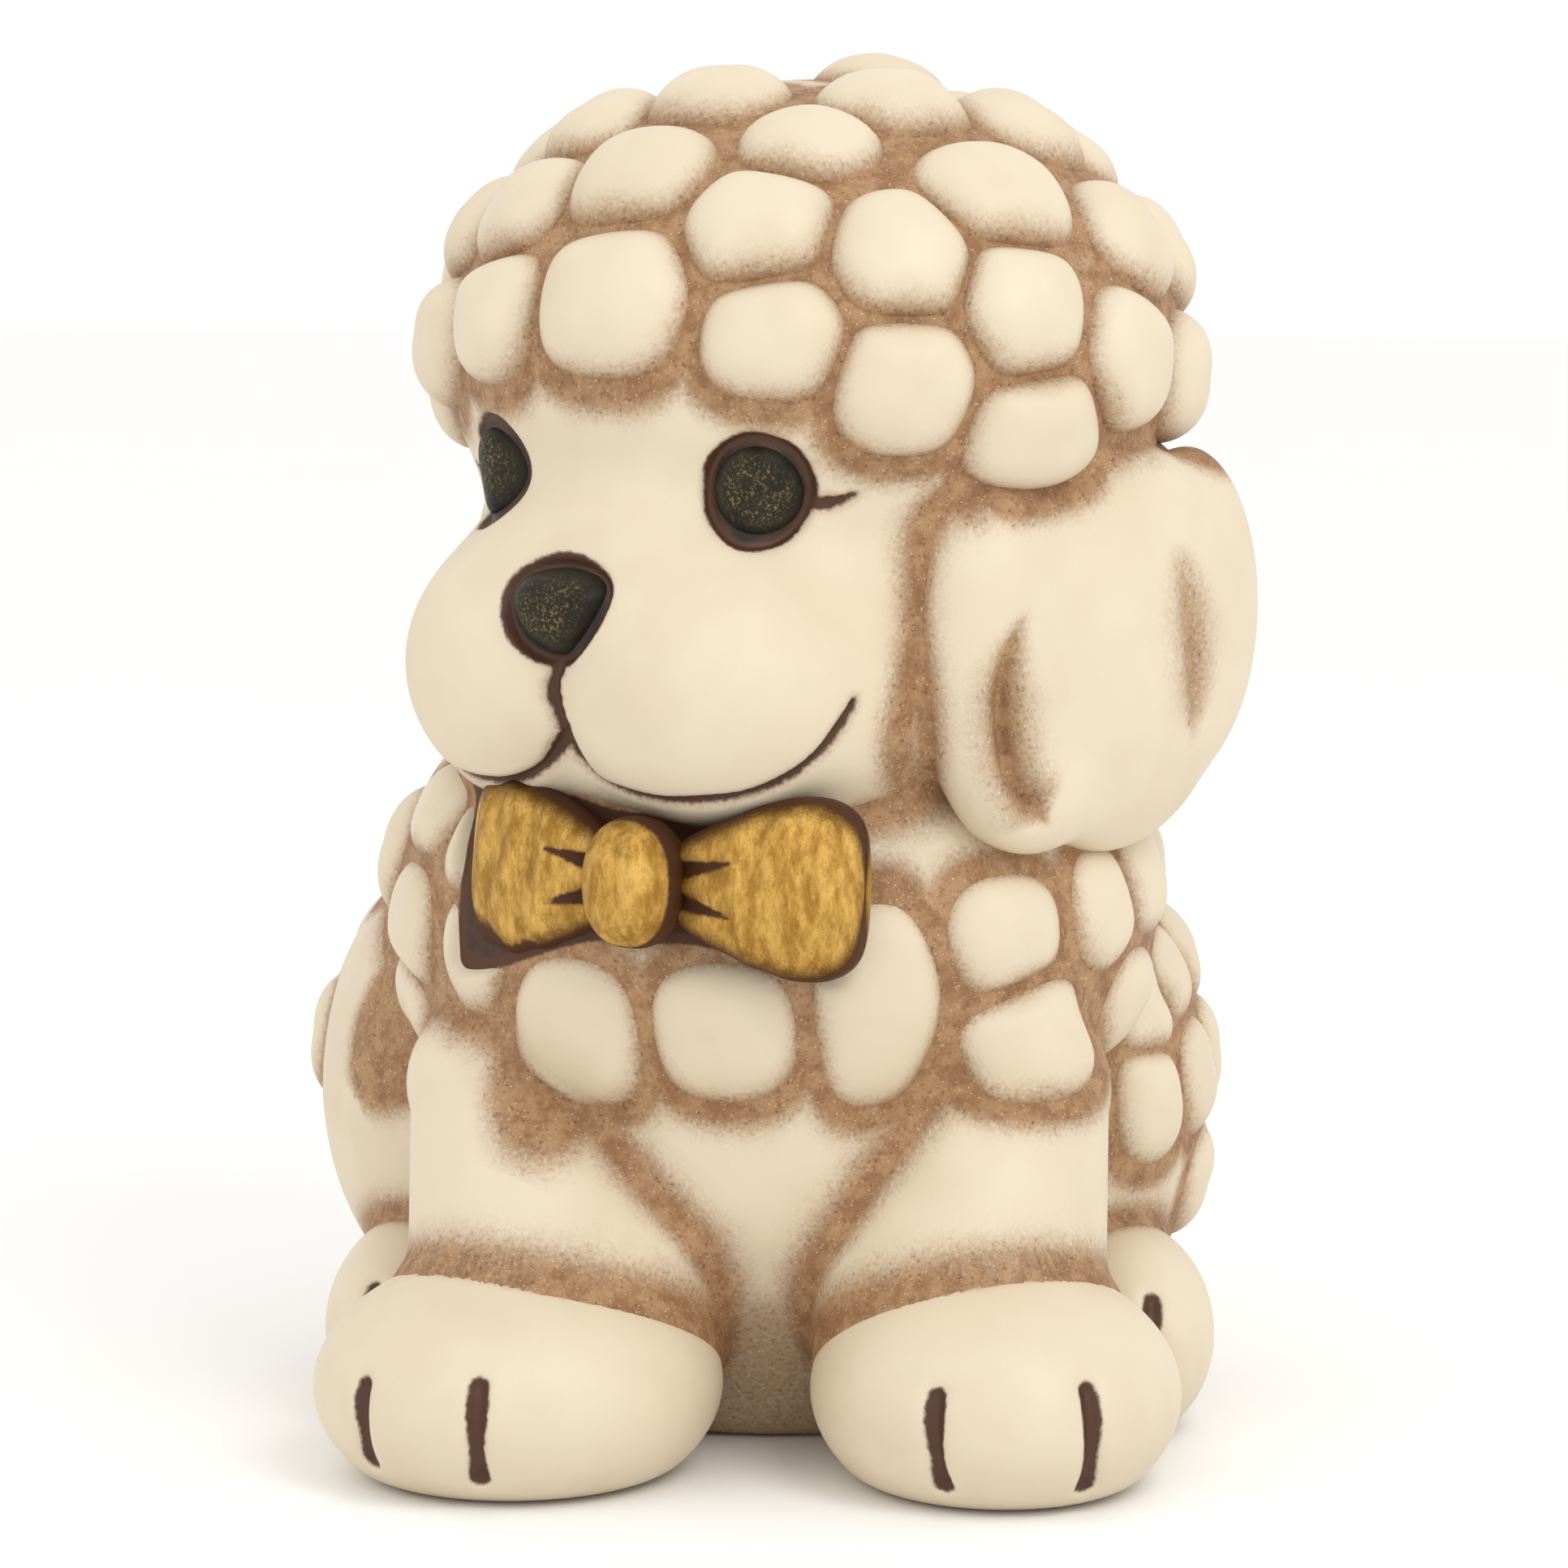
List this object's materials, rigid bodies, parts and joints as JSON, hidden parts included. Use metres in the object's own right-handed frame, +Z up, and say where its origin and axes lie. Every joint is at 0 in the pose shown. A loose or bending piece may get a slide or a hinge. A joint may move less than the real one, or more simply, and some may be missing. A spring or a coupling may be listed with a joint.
{
  "type": "ceramic dog figurine",
  "caption": "Sitting poodle puppy figurine in matt ceramic, head turned to one side, with pebble-like curls, hanging ears, big paws and a gold bow tie.",
  "frame": {"origin": "on the floor plane, on the axis of the neck, inside the torso's flat base", "axes": "+Z up, -Y the way the chest faces, +X the dog's left"},
  "size_m": [0.072, 0.0732, 0.0996],
  "materials": {
    "cream_ceramic": "matt cream with a brown wash in the grooves",
    "bow_gold": "metallic gold paint over ceramic, brushed and speckled",
    "face_black": "satin black paint with gold flecks over ceramic"
  },
  "bodies": {
    "root": {"torso": "cream_ceramic", "head": "cream_ceramic", "ear_left": "cream_ceramic", "ear_right": "cream_ceramic", "foreleg_left": "cream_ceramic", "foreleg_right": "cream_ceramic", "forepaw_left": "cream_ceramic", "forepaw_right": "cream_ceramic", "haunch_left": "cream_ceramic", "haunch_right": "cream_ceramic", "hind_paw_left": "cream_ceramic", "hind_paw_right": "cream_ceramic", "tail": "cream_ceramic", "bow_knot": "bow_gold", "bow_loop_left": "bow_gold", "bow_loop_right": "bow_gold", "nose": "face_black", "eye_left": "face_black", "eye_right": "face_black", "brow_curls": "cream_ceramic", "side_curls": "cream_ceramic", "crown_curls": "cream_ceramic", "back_curls": "cream_ceramic", "nape_curls": "cream_ceramic", "chest_curls": "cream_ceramic", "shoulder_curls_left": "cream_ceramic", "shoulder_curls_right": "cream_ceramic", "withers_curls": "cream_ceramic", "haunch_curls_left": "cream_ceramic", "haunch_curls_right": "cream_ceramic", "rump_curls": "cream_ceramic", "tail_curls": "cream_ceramic"}
  },
  "joints": []
}
